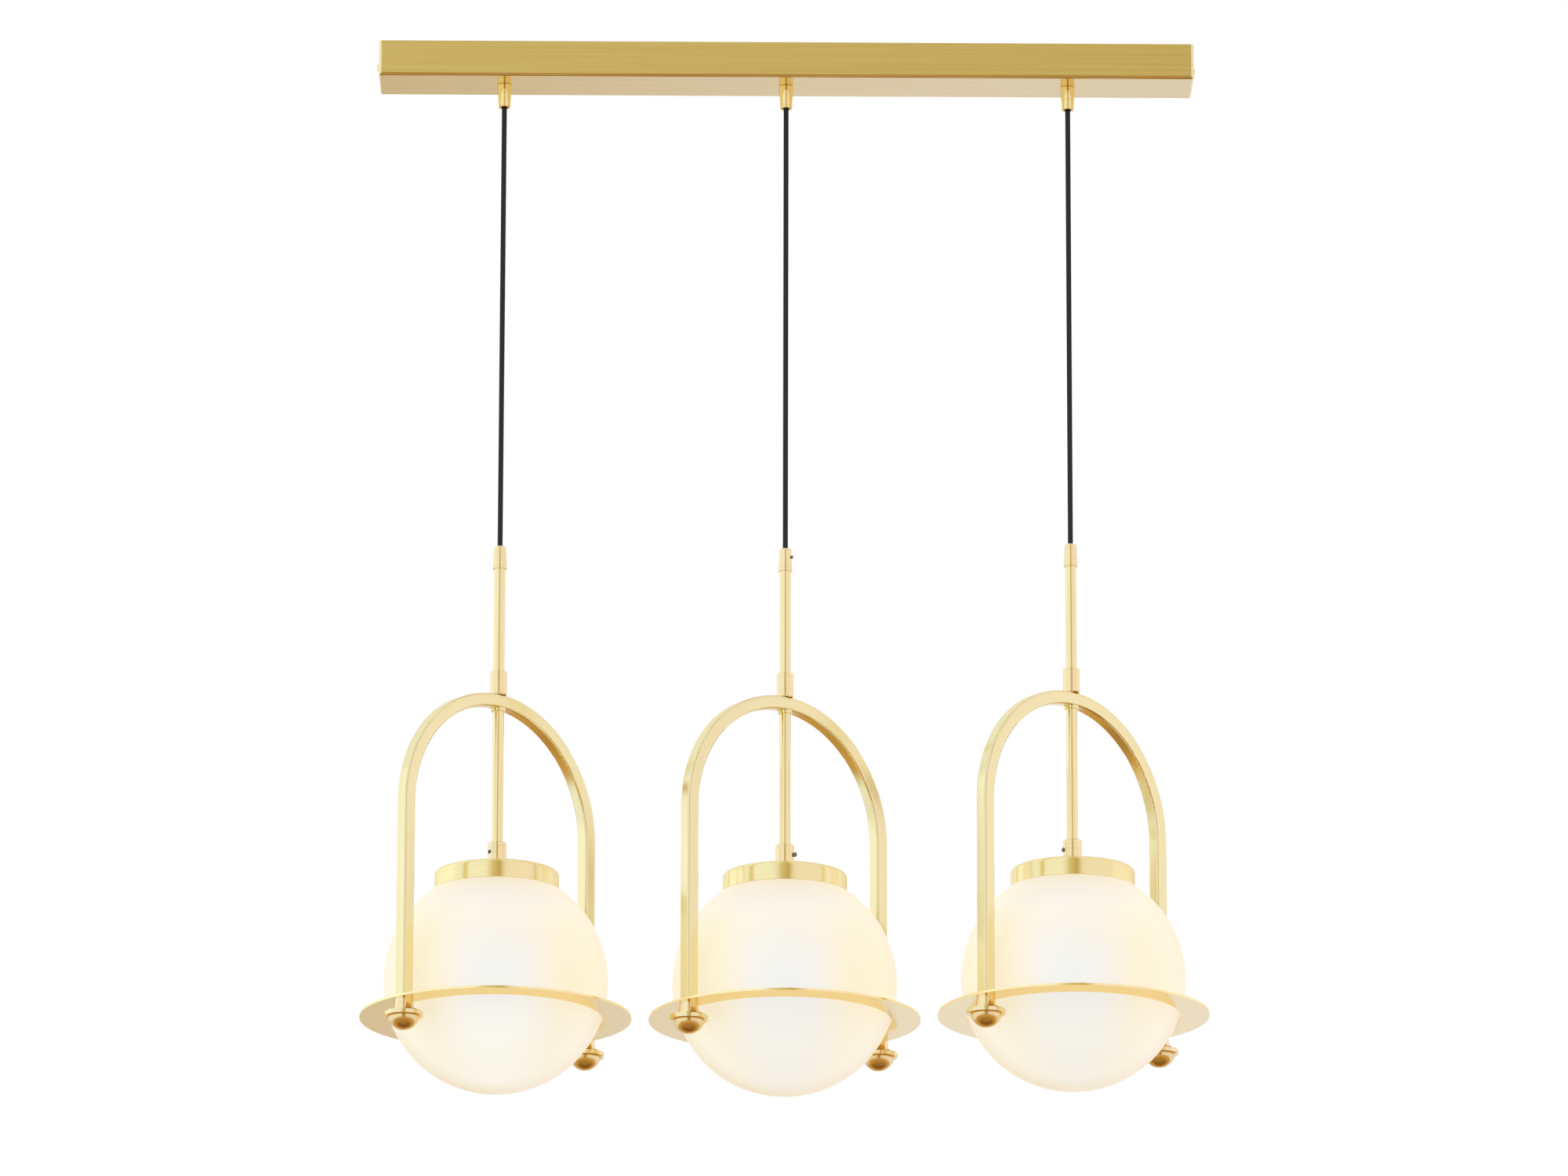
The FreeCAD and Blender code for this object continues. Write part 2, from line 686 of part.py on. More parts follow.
def square_at(across, half):
    return rectangle(across + " - " + half, "0 - " + half, across + " + " + half, half)


def draw_square(sketch, across, half, corner):
    """A square with rounded corners."""
    left = across + " - " + half
    right = across + " + " + half
    draw_outline(sketch, [
        (right + " - " + corner, "0 - " + half),
        (right, "0 - " + half + " + " + corner, corner, "left"),
        (right, half + " - " + corner),
        (right + " - " + corner, half, corner, "left"),
        (left + " + " + corner, half),
        (left, half + " - " + corner, corner, "left"),
        (left, "0 - " + half + " + " + corner),
        (left + " + " + corner, "0 - " + half, corner, "left"),
    ])


def make_stems(side):
    """Upper stem, the coupler on the arch's crown and the lower stem under it."""
    upper = turned(side + "_upper_stem", [
        ("stem_bore_radius", "arch_coupler_top - socket_depth"),
        ("stem_radius", "arch_coupler_top - socket_depth"),
        ("stem_radius", "cap_foot + socket_depth"),
        ("stem_bore_radius", "cap_foot + socket_depth"),
    ])
    coupler = turned(side + "_arch_coupler", [
        ("cord_radius + seat_gap", "flange_seat - spigot_grip"),
        ("spigot_radius", "flange_seat - spigot_grip"),
        ("spigot_radius", "crown_top"),
        ("arch_coupler_radius - edge_break", "crown_top"),
        ("arch_coupler_radius", "crown_top + edge_break"),
        ("arch_coupler_radius", "arch_coupler_top - edge_break"),
        ("arch_coupler_radius - edge_break", "arch_coupler_top"),
        ("stem_radius + fit_gap", "arch_coupler_top"),
        ("stem_radius + fit_gap", "arch_coupler_top - socket_depth"),
        ("cord_radius + seat_gap", "arch_coupler_top - socket_depth"),
    ])
    lower = turned(side + "_lower_stem", [
        ("spigot_radius + fit_gap", "coupler_socket_foot"),
        ("stem_radius", "coupler_socket_foot"),
        ("stem_radius", "flange_seat - stem_flange_height"),
        ("stem_flange_radius", "flange_seat - stem_flange_height"),
        ("stem_flange_radius", "flange_seat"),
        ("spigot_radius + fit_gap", "flange_seat"),
    ])
    return [upper, coupler, lower]


def make_gallery_coupler(side):
    """Gallery coupler: holds the stem above, and its spigot holds gallery and lamp holder."""
    coupler = turned(side + "_gallery_coupler", [
        ("cord_radius + seat_gap", "gallery_spigot_foot"),
        ("gallery_spigot_radius", "gallery_spigot_foot"),
        ("gallery_spigot_radius", "gallery_top"),
        ("gallery_coupler_radius", "gallery_top"),
        ("gallery_coupler_radius", "gallery_coupler_top - edge_break"),
        ("gallery_coupler_radius - edge_break", "gallery_coupler_top"),
        ("stem_radius + fit_gap", "gallery_coupler_top"),
        ("stem_radius + fit_gap", "coupler_socket_foot"),
        ("cord_radius + seat_gap", "coupler_socket_foot"),
    ])
    doc.recompute()
    hole = new_sketch(coupler, "YZ_Plane")
    draw_circle(hole, "0", "gallery_top + coupler_screw_rise", "coupler_screw_radius + fit_gap")
    cut(coupler, hole, "gallery_coupler_radius + 1", back=True)
    return coupler


def make_gallery(side):
    """Gallery: a spun cap with a rounded shoulder, over the neck of the glass."""
    inner_round = "gallery_round - gallery_wall"
    return turned(side + "_gallery", [
        ("gallery_radius - gallery_wall", "gallery_foot"),
        ("gallery_radius", "gallery_foot"),
        ("gallery_radius", "gallery_top - gallery_round"),
        ("gallery_radius - gallery_round", "gallery_top", "gallery_round", "left"),
        ("gallery_spigot_radius + fit_gap", "gallery_top"),
        ("gallery_spigot_radius + fit_gap", "gallery_under"),
        ("gallery_radius - gallery_round", "gallery_under"),
        ("gallery_radius - gallery_wall", "gallery_top - gallery_round", inner_round, "right"),
    ])


def make_globe(side):
    """Globe: blown glass, one even wall, with a flat shoulder round a straight neck."""
    inner_radius = "(globe_radius - glass_wall)"
    inner_neck = "(globe_neck_radius - glass_wall)"
    inner_shoulder = "(shoulder_radius - glass_wall / 2)"
    inner_level = "sqrt(%s^2 - %s^2)" % (inner_radius, inner_shoulder)
    return turned(side + "_globe", [
        ("0", "0 - globe_radius"),
        ("shoulder_radius", "shoulder_level", "globe_radius", "left"),
        ("globe_neck_radius", "shoulder_level + globe_shoulder_rise"),
        ("globe_neck_radius", "globe_neck_top - edge_break"),
        ("globe_neck_radius - edge_break", "globe_neck_top"),
        (inner_neck + " + edge_break", "globe_neck_top"),
        (inner_neck, "globe_neck_top - edge_break"),
        (inner_neck, inner_level + " + globe_shoulder_rise"),
        (inner_shoulder, inner_level),
        ("0", "0 - " + inner_radius, inner_radius, "right"),
    ])


def make_holder_and_bulb(side):
    """Lamp holder screwed up on the coupler's spigot, and the hollow bulb in its socket."""
    holder = turned(side + "_lamp_holder", [
        ("holder_bore_radius", "holder_foot"),
        ("holder_radius", "holder_foot"),
        ("holder_radius", "gallery_under - holder_radius + holder_neck_radius - 6"),
        ("holder_neck_radius", "gallery_under - 6"),
        ("holder_neck_radius", "gallery_under"),
        ("gallery_spigot_radius + fit_gap", "gallery_under"),
        ("gallery_spigot_radius + fit_gap", "holder_web_top"),
        ("cord_radius + seat_gap", "holder_web_top"),
        ("cord_radius + seat_gap", "holder_bore_top"),
        ("holder_bore_radius", "holder_bore_top"),
    ])
    shoulder_across = "cos(bulb_shoulder_angle * 1deg)"
    shoulder_up = "sin(bulb_shoulder_angle * 1deg)"
    inside = "(bulb_radius - bulb_wall)"
    bulb = turned(side + "_bulb", [
        ("0", "bulb_tip"),
        ("bulb_radius * " + shoulder_across, "bulb_middle + bulb_radius * " + shoulder_up, "bulb_radius", "left"),
        ("bulb_collar_radius", "bulb_top - bulb_cap_depth - 2.5"),
        ("bulb_collar_radius", "bulb_top - bulb_cap_depth - 0.5"),
        ("bulb_cap_radius", "bulb_top - bulb_cap_depth - 0.5"),
        ("bulb_cap_radius", "bulb_top - 3"),
        ("bulb_cap_radius - 4", "bulb_top - 1"),
        ("bulb_cap_radius - 8", "bulb_top"),
        ("bulb_wall * 2", "bulb_top"),
        ("bulb_cap_radius - bulb_wall", "bulb_top - 4"),
        ("bulb_cap_radius - bulb_wall", "bulb_top - bulb_cap_depth - 3"),
        (inside + " * " + shoulder_across, "bulb_middle + " + inside + " * " + shoulder_up),
        ("0", "bulb_tip + bulb_wall", inside, "right"),
    ])
    return [holder, bulb]


def make_ring(side):
    """Ring: a flat washer of sheet that the glass rests in, drilled for the two ball screws."""
    ring = new_body(side + "_ring")
    plate = new_sketch(ring, "XY_Plane", "ring_foot")
    draw_circle(plate, "0", "0", "ring_radius")
    draw_circle(plate, "0", "0", "ring_bore")
    padded(ring, plate, "ring_thickness")
    hole = new_sketch(ring, "XY_Plane", "ring_foot")
    draw_circle(hole, "0 - arch_radius", "0", "plug_hole_radius")
    drilled = cut(ring, hole, "ring_thickness * 2", both=True)
    repeat_along(ring, drilled, hole, "H_Axis", "arch_radius * 2", 2)
    return ring


def make_finials(side):
    """Under each leg: a hollow-sided collar, and the ball whose shank goes up into the leg."""
    collars = []
    balls = []
    for place, leg in (("near", "0 - arch_radius"), ("far", "arch_radius")):
        collar = turned("%s_%s_collar" % (side, place), [
            ("plug_hole_radius", "collar_foot"),
            ("collar_radius - edge_break", "collar_foot"),
            ("collar_radius", "collar_foot + edge_break"),
            ("collar_radius", "neck_foot - edge_break"),
            ("collar_radius - edge_break", "neck_foot"),
            ("neck_end_radius", "neck_foot"),
            ("neck_top_radius", "ring_foot - neck_land - neck_groove", "neck_curve_radius", "right"),
            ("neck_top_radius - neck_groove", "ring_foot - neck_land - neck_groove"),
            ("neck_top_radius - neck_groove", "ring_foot - neck_land"),
            ("neck_top_radius", "ring_foot - neck_land"),
            ("neck_top_radius", "ring_foot"),
            ("plug_hole_radius", "ring_foot"),
        ])
        put(collar, leg, "0")
        collars.append(collar)
        ball = turned("%s_%s_ball" % (side, place), [
            ("0", "collar_foot - ball_depth"),
            ("ball_radius", "collar_foot - ball_seam", "ball_curve_radius", "left"),
            ("ball_radius - ball_seam", "collar_foot - ball_seam"),
            ("ball_radius - ball_seam", "collar_foot"),
            ("ball_screw_radius", "collar_foot"),
            ("ball_screw_radius", "ring_top + ball_screw_grip"),
            ("0", "ring_top + ball_screw_grip"),
        ])
        put(ball, leg, "0")
        balls.append(ball)
    return [group(side + "_finial_collars", collars), group(side + "_ball_screws", balls)]


def make_inner_lead(side):
    """The cord's stretch inside the stems, from the cap down to the lamp holder."""
    return turned(side + "_inner_lead", [
        ("0", "holder_web_top + seat_gap"),
        ("cord_radius", "holder_web_top + seat_gap"),
        ("cord_radius", "inner_lead_top"),
        ("0", "inner_lead_top"),
    ])


# The three lamps
for side, across in sides:
    centre_level = "(mouth_level - cord_length + cord_shorter_%s - cap_top)" % side
    arch_turn = "arch_angle_" + side
    cord = make_cord(side)
    put(cord, across, "grip_pivot")
    cap = make_cap(side)
    cap_screw = make_side_screw(
        side + "_cap_screw",
        "cap_foot + cap_screw_rise",
        "cap_screw_radius",
        "lead_hole",
        "cap_radius",
    )
    for piece in (cap, cap_screw):
        put(piece, across, centre_level, "cap_screw_angle_" + side)
    coupler = make_gallery_coupler(side)
    coupler_screw = make_side_screw(
        side + "_coupler_screw",
        "gallery_top + coupler_screw_rise",
        "coupler_screw_radius",
        "stem_radius + fit_gap",
        "gallery_coupler_radius - screw_recess",
    )
    for piece in (coupler, coupler_screw):
        put(piece, across, centre_level, "coupler_screw_angle_" + side)
    lamp_pieces = make_stems(side)
    lamp_pieces.append(make_arch(side))
    lamp_pieces.append(make_gallery(side))
    lamp_pieces += make_holder_and_bulb(side)
    lamp_pieces.append(make_globe(side))
    lamp_pieces.append(make_ring(side))
    lamp_pieces += make_finials(side)
    lamp_pieces.append(make_inner_lead(side))
    for piece in lamp_pieces:
        put(piece, across, centre_level, arch_turn)
    sub_parts += [cord, cap, cap_screw, coupler, coupler_screw] + lamp_pieces

doc.recompute()

# Everything has to be sound before any file is written
for thing in doc.Objects:
    if {"Invalid", "Error"} & set(thing.State):
        raise RuntimeError("%s is in state %s" % (thing.Label, thing.State))
for piece in sub_parts:
    if piece.Shape.isNull() or not piece.Shape.isValid() or not piece.Shape.Solids:
        raise RuntimeError(piece.Label + " has no sound solid")

os.makedirs("parts", exist_ok=True)
for piece in sub_parts:
    piece.Shape.exportStep("parts/%s.step" % piece.Label)
    low = piece.Shape.BoundBox
    print("%-26s %d solids, z %.1f to %.1f" % (piece.Label, len(piece.Shape.Solids), low.ZMin, low.ZMax))
print("Lead bends %.1f mm, %d nodes" % (number("lead_bend"), len(sub_parts)))
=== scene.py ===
import json
import math
import bpy
from mathutils import Matrix, Vector


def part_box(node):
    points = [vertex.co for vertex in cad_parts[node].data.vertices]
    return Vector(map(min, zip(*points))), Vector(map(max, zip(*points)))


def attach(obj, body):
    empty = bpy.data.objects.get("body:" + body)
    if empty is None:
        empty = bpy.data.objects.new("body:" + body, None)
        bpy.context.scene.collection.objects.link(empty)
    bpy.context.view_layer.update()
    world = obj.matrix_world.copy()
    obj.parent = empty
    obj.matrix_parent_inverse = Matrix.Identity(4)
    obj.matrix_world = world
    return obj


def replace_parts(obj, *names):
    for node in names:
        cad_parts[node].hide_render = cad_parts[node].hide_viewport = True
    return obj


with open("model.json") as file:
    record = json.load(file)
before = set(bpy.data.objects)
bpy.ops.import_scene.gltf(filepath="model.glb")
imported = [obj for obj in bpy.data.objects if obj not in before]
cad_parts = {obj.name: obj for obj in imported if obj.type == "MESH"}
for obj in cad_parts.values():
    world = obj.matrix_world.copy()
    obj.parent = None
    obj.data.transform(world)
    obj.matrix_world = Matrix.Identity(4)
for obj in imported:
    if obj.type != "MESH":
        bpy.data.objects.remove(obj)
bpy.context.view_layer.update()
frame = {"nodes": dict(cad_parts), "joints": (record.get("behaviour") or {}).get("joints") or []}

# Camera. A long lens stands well in front of the pendant and two metres lower than
# the globes, and looks up, so the underside of the bar and of the rings shows.
lens_pixels = 12543.5
frame_pixels = 2000
film_width = 36
camera_place = Vector((-0.0841, -8.5085, -2.8948))
look_up, look_right, lean = 0.27354, 0.00975, 0.0018
lens = bpy.data.cameras.new("camera")
lens.sensor_width = film_width
lens.sensor_fit = "HORIZONTAL"
lens.lens = lens_pixels / frame_pixels * film_width
lens.clip_end = 100
camera = bpy.data.objects.new("camera", lens)
bpy.context.scene.collection.objects.link(camera)
level_ahead = Vector((math.sin(look_right), math.cos(look_right), 0))
ahead = level_ahead * math.cos(look_up) + Vector((0, 0, math.sin(look_up)))
level_right = ahead.cross(Vector((0, 0, 1))).normalized()
level_up = level_right.cross(ahead)
camera_right = level_right * math.cos(lean) + level_up * math.sin(lean)
camera_up = level_up * math.cos(lean) - level_right * math.sin(lean)
stand = Matrix((camera_right, camera_up, -ahead)).transposed().to_4x4()
stand.translation = camera_place
camera.matrix_world = stand
bpy.context.scene.camera = camera


# Ceiling bracket. A strap of zinc-plated steel, screwed to the ceiling, with both
# ends bent down for the two end screws of the bar.
class Signal:
    """One output in a node tree. Arithmetic on it adds the nodes that work it out."""

    def __init__(self, recipe, socket):
        self.recipe = recipe
        self.socket = socket

    def __add__(self, other):
        return self.recipe.maths("ADD", self, other)

    def __sub__(self, other):
        return self.recipe.maths("SUBTRACT", self, other)

    def __rsub__(self, other):
        return self.recipe.maths("SUBTRACT", other, self)

    def __mul__(self, other):
        return self.recipe.maths("MULTIPLY", self, other)

    def __truediv__(self, other):
        return self.recipe.maths("DIVIDE", self, other)

    __radd__ = __add__
    __rmul__ = __mul__


class Recipe:
    """A node tree that is being filled."""

    def __init__(self, tree):
        self.tree = tree

    def add(self, kind, settings, inputs, output=0):
        """A node of any other kind: its settings first, then values or links by socket."""
        node = self.tree.nodes.new(kind)
        for name, value in settings.items():
            setattr(node, name, value)
        sockets = inputs.items() if isinstance(inputs, dict) else enumerate(inputs)
        for place, value in sockets:
            for item in value if isinstance(value, list) else [value]:
                if isinstance(item, Signal):
                    self.tree.links.new(item.socket, node.inputs[place])
                else:
                    node.inputs[place].default_value = item
        return Signal(self, node.outputs[output])

    def maths(self, operation, *values):
        return self.add("ShaderNodeMath", {"operation": operation}, values)

    def smooth(self, value, start, end):
        """0 before start, 1 after end, and an even curve between them."""
        return self.add(
            "ShaderNodeMapRange",
            {"interpolation_type": "SMOOTHSTEP"},
            {"Value": value, "From Min": start, "From Max": end},
        )

    def between(self, factor, first, second):
        """A colour between two, by a factor."""
        start, end = [c if isinstance(c, Signal) else (*c, 1) for c in (first, second)]
        factor_in, start_in, end_in, colour_out = 0, 6, 7, 2
        return self.add(
            "ShaderNodeMix",
            {"data_type": "RGBA"},
            {factor_in: factor, start_in: start, end_in: end},
            colour_out,
        )

    def noise(self, place, stretch, detail=2.0, roughness=0.5):
        """Noise from 0 to 1, with its cells drawn out by a different number each way."""
        spread = self.add("ShaderNodeVectorMath", {"operation": "MULTIPLY"}, [place, stretch])
        return self.add(
            "ShaderNodeTexNoise",
            {"noise_dimensions": "3D"},
            {"Vector": spread, "Scale": 1.0, "Detail": detail, "Roughness": roughness},
        )

    def apart(self, vector):
        """The three parts of a vector."""
        parts = self.add("ShaderNodeSeparateXYZ", {}, [vector]).socket.node.outputs
        return [Signal(self, part) for part in parts]


class Finish(Recipe):
    """One material: the sockets that are the same all over are set by name."""

    def __init__(self, name, **sockets):
        self.material = bpy.data.materials.new(name)
        self.material.use_nodes = True
        super().__init__(self.material.node_tree)
        self.shader = self.tree.nodes["Principled BSDF"]
        for socket, value in sockets.items():
            self.shader.inputs[socket.replace("_", " ")].default_value = value

    def feed(self, socket, signal):
        self.tree.links.new(signal.socket, self.shader.inputs[socket])

    def place(self, centre=(0, 0, 0), turn=0):
        """Object coordinates, centred on a piece and turned with it about the upright."""
        here = self.add("ShaderNodeTexCoord", {}, [], "Object")
        return self.add(
            "ShaderNodeMapping",
            {"vector_type": "TEXTURE"},
            {"Vector": here, "Location": centre, "Rotation": (0, 0, turn)},
        )

    def bump(self, height, depth):
        """Relief in the normal, this many metres deep."""
        inputs = {"Strength": 1.0, "Distance": depth, "Height": height}
        self.feed("Normal", self.add("ShaderNodeBump", {}, inputs))

    def cover(self, *names):
        """Puts the material on these pieces of the frame."""
        for name in names:
            for slot in frame["nodes"][name].material_slots:
                slot.material = self.material


zinc = Finish("zinc_plated_steel", Metallic=1.0)
sheet = zinc.place()
spangle = zinc.noise(sheet, (260, 260, 260), 4)
rolling = zinc.noise(sheet, (14, 1500, 1500), 2)
zinc.feed("Base Color", zinc.between(spangle, (0.50, 0.52, 0.55), (0.68, 0.69, 0.70)))
zinc.feed("Roughness", 0.30 + spangle * 0.18)
zinc.bump(rolling, 0.00002)
zinc.cover("ceiling_bracket")


# Ceiling bar. A shallow box folded from 1.5 mm brass sheet, brushed along its
# length and lacquered; the brush leaves the rounded bends brighter than the faces.
def brass(name, tone, deeper, shine, fine, broad, line_depth, spread=0.10):
    """Lacquered brass with fine tool lines, and the broad streaks that they add up to."""
    metal = Finish(name, Metallic=1.0, Specular_Tint=(0.95, 0.88, 0.72, 1))
    lines, streaks = fine(metal), broad(metal)
    metal.feed("Base Color", metal.between(metal.smooth(streaks, 0.25, 0.75), deeper, tone))
    metal.feed("Roughness", shine + (lines - 0.5) * spread + (streaks - 0.5) * spread * 0.6)
    metal.bump(lines, line_depth)
    return metal


def grain(stretch, detail, roughness=0.5):
    """Lines or specks that run straight through a piece, by cells to the metre each way."""
    return lambda metal: metal.noise(metal.place(), stretch, detail, roughness)


bar_metal = brass(
    "bar_brushed_brass", (0.88, 0.775, 0.46), (0.83, 0.715, 0.40), 0.17,
    grain((11, 2600, 2600), 3, 0.6), grain((5, 420, 420), 3, 0.6), 0.000035,
)
bar_metal.cover("ceiling_bar")


# End screws. Domed brass screws through the ends of the bar into the bracket's
# turned-down tabs, each with a cross driven in its head.
class Pattern(Recipe):
    """A geometry tree, whose sizes are its named inputs."""

    def __init__(self, name, **sizes):
        super().__init__(bpy.data.node_groups.new(name, "GeometryNodeTree"))
        self.sizes = sizes
        self.tree.interface.new_socket("Shape", in_out="OUTPUT", socket_type="NodeSocketGeometry")
        for size, amount in sizes.items():
            kind = {int: "Int", float: "Float", tuple: "Vector"}[type(amount)]
            self.tree.interface.new_socket(size, in_out="INPUT", socket_type="NodeSocket" + kind)
        entry = self.tree.nodes.new("NodeGroupInput")
        self.size = {size: Signal(self, entry.outputs[size]) for size in sizes}

    def barrel(self, radius, length, sides=40, end_radius=None):
        """A closed round bar or cone from level 0 up."""
        return self.add("GeometryNodeMeshCone", {}, {
            "Vertices": sides,
            "Radius Bottom": radius,
            "Radius Top": end_radius or radius,
            "Depth": length,
        })

    def block(self, *sizes):
        """A rectangular block about the middle."""
        return self.add("GeometryNodeMeshCube", {}, [self.vector(*sizes)])

    def vector(self, *parts):
        return self.add("ShaderNodeCombineXYZ", {}, parts)

    def moved(self, shape, place, turn=(0, 0, 0)):
        inputs = {"Geometry": shape, "Translation": place, "Rotation": turn}
        return self.add("GeometryNodeTransform", {}, inputs)

    def raised(self, shape, level, turn=(0, 0, 0)):
        return self.moved(shape, self.vector(0.0, 0.0, level), turn)

    def boolean(self, operation, inputs):
        settings = {"operation": operation, "solver": "EXACT"}
        return self.add("GeometryNodeMeshBoolean", settings, inputs)

    def joined(self, *shapes):
        return self.boolean("UNION", {"Mesh 2": list(shapes)})

    def common(self, *shapes):
        return self.boolean("INTERSECT", {"Mesh 2": list(shapes)})

    def less(self, shape, *cuts):
        return self.boolean("DIFFERENCE", {"Mesh 1": shape, "Mesh 2": list(cuts)})

    def in_a_row(self, shape, count, step):
        """Copies of a shape, one step apart."""
        row = self.add("GeometryNodeMeshLine", {}, {"Count": count, "Offset": step})
        return self.add("GeometryNodeInstanceOnPoints", {}, {"Points": row, "Instance": shape})

    def end_with(self, shape, finish):
        """The end of the tree: one whole mesh in one material."""
        whole = self.add("GeometryNodeRealizeInstances", {}, [shape])
        inputs = {"Geometry": whole, "Material": finish.material}
        dressed = self.add("GeometryNodeSetMaterial", {}, inputs)
        leave = self.tree.nodes.new("NodeGroupOutput")
        self.tree.links.new(dressed.socket, leave.inputs[0])

    def make(self, name, body, slot, **sizes):
        """The shape at these sizes, as a plain mesh that rides on a body."""
        piece = bpy.data.objects.new(name, bpy.data.meshes.new(name))
        bpy.context.scene.collection.objects.link(piece)
        pattern = piece.modifiers.new("pattern", "NODES")
        pattern.node_group = self.tree
        for item in self.tree.interface.items_tree:
            if item.in_out == "INPUT":
                pattern[item.identifier] = sizes.get(item.name, self.sizes[item.name])
        shaped = piece.evaluated_get(bpy.context.evaluated_depsgraph_get())
        mesh = bpy.data.meshes.new_from_object(shaped)
        piece.modifiers.remove(pattern)
        piece.data = mesh
        mesh.shade_smooth()
        mesh.set_sharp_from_angle(angle=math.radians(35))
        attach(piece, body)
        return piece


lathe_marks = grain((60, 60, 5200), 2), grain((25, 25, 700), 2), 0.0000015, 0.04
turned_metal = brass(
    "turned_brass", (0.92, 0.77, 0.46), (0.88, 0.715, 0.40), 0.10, *lathe_marks
)
screw_low, screw_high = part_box("end_screws")
head_height = 0.0028
head = Pattern(
    "cross_head_screw", head_radius=(screw_high.y - screw_low.y) / 2, head_height=head_height,
    shank_radius=0.002, shank_length=0.012, slot_width=0.0009, slot_depth=0.0016,
    reach=screw_high.x - head_height, level=(screw_high.z + screw_low.z) / 2,
)
size = head.size
height, radius = size["head_height"], size["head_radius"]
round_radius = (radius * radius + height * height) / (height * 2.0)
# Nothing below lines up with a side of anything else, which keeps the cuts clean.
off_line, past_rim, past_top, unlike = 0.03, 1.3, 1.1, 1.02
ball_inputs = {"Segments": 40, "Rings": 24, "Radius": round_radius}
ball = head.add("GeometryNodeMeshUVSphere", {}, ball_inputs)
dome = head.common(
    head.raised(ball, height - round_radius, (0, 0, off_line)),
    head.barrel(radius * past_rim, height * past_top),
)
shank_root = 0.0004
shank = head.raised(
    head.barrel(size["shank_radius"], size["shank_length"] + shank_root),
    0 - size["shank_length"],
)
arm_length, arm_width, arm_height = radius * 1.1, size["slot_width"], size["slot_depth"] * 2.0
cross = [
    head.raised(head.block(arm_length, arm_width, arm_height), height),
    head.raised(head.block(arm_width, arm_length, arm_height * unlike), height),
]
screw = head.less(head.joined(dome, shank), *cross)
right_place = head.vector(size["reach"], 0.0, size["level"])
right_screw = head.moved(screw, right_place, (0, math.pi / 2, 0))
left_screw = head.moved(right_screw, (0, 0, 0), (0, 0, math.pi))
both_screws = head.add("GeometryNodeJoinGeometry", {}, {0: [left_screw, right_screw]})
head.end_with(both_screws, turned_metal)
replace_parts(head.make("cross_head_end_screws", "canopy", "screw_brass"), "end_screws")


# Cord grips and nuts. Each grip is a turned and polished brass sleeve whose threaded
# shank goes up through the bar's floor, where a plain hexagon nut holds it. A thin
# black nylon lining in the flared mouth keeps the edge off the cord.
grip_metal = brass(
    "grip_brass", (0.93, 0.75, 0.37), (0.88, 0.69, 0.31), 0.12, *lathe_marks
)
grip_metal.cover("cord_grips")
nut_metal = brass(
    "nut_brass", (0.90, 0.765, 0.415), (0.85, 0.70, 0.345), 0.30,
    grain((900, 900, 900), 4), grain((160, 160, 160), 3), 0.00003,
)
nut_metal.cover("grip_nuts", "earth_stud")
nylon = Finish("black_nylon", IOR=1.53)
moulded = nylon.noise(nylon.place(), (1800, 1800, 1800), 2)
nylon.feed("Base Color", nylon.between(moulded, (0.012, 0.012, 0.011), (0.026, 0.025, 0.022)))
nylon.feed("Roughness", 0.40 + moulded * 0.2)
nylon.bump(moulded, 0.00001)

sides = ("left", "middle", "right")
pivots = {joint["name"]: Vector(joint["pos_m"]) for joint in frame["joints"]}
across = {side: pivots[side + "_swing"].x for side in sides}
lamp_spacing = across["right"]
cord_diameter = 0.0046
swing_room = 0.0003
swing_angle = math.radians(30)
lining = Pattern(
    "mouth_lining", neck_radius=(cord_diameter / 2 + swing_room) / math.cos(swing_angle),
    slope=math.tan(swing_angle), depth=0.0014, wall=0.0002,
    count=3, step=(lamp_spacing, 0.0, 0.0),
    first_place=(across["left"], 0.0, pivots["left_swing"].z),
)
size = lining.size
neck, depth, wall = size["neck_radius"], size["depth"], size["wall"]
foot_radius = neck + depth * size["slope"]
past_end = 0.0001
skin = lining.less(
    lining.barrel(foot_radius, depth, 48, neck),
    lining.moved(
        lining.barrel(foot_radius - wall, depth + past_end * 2, 48, neck - wall),
        (0, 0, -past_end),
    ),
)
linings = lining.in_a_row(lining.raised(skin, 0 - depth), size["count"], size["step"])
lining.end_with(lining.moved(linings, size["first_place"]), nylon)
lining.make("mouth_linings", "canopy", "cord_black")

nut_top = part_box("grip_nuts")[1].z
thread = Pattern(
    "screw_thread", radius=0.005, turns=1.7, pitch=0.001, ridge=0.00024,
    count=3, step=(lamp_spacing, 0.0, 0.0), first_place=(across["left"], 0.0, nut_top),
)
size = thread.size
helix = thread.add("GeometryNodeCurveSpiral", {}, {
    "Resolution": 28,
    "Rotations": size["turns"],
    "Start Radius": size["radius"],
    "End Radius": size["radius"],
    "Height": size["turns"] * size["pitch"],
})
crest_inputs = {"Resolution": 6, "Radius": size["ridge"]}
crest = thread.add("GeometryNodeCurvePrimitiveCircle", {}, crest_inputs)
ridge_inputs = {"Curve": helix, "Profile Curve": crest, "Fill Caps": True}
ridge = thread.add("GeometryNodeCurveToMesh", {}, ridge_inputs)
threads = thread.in_a_row(ridge, size["count"], size["step"])
thread.end_with(thread.moved(threads, size["first_place"]), nut_metal)
thread.make("grip_threads", "canopy", "nut_brass")


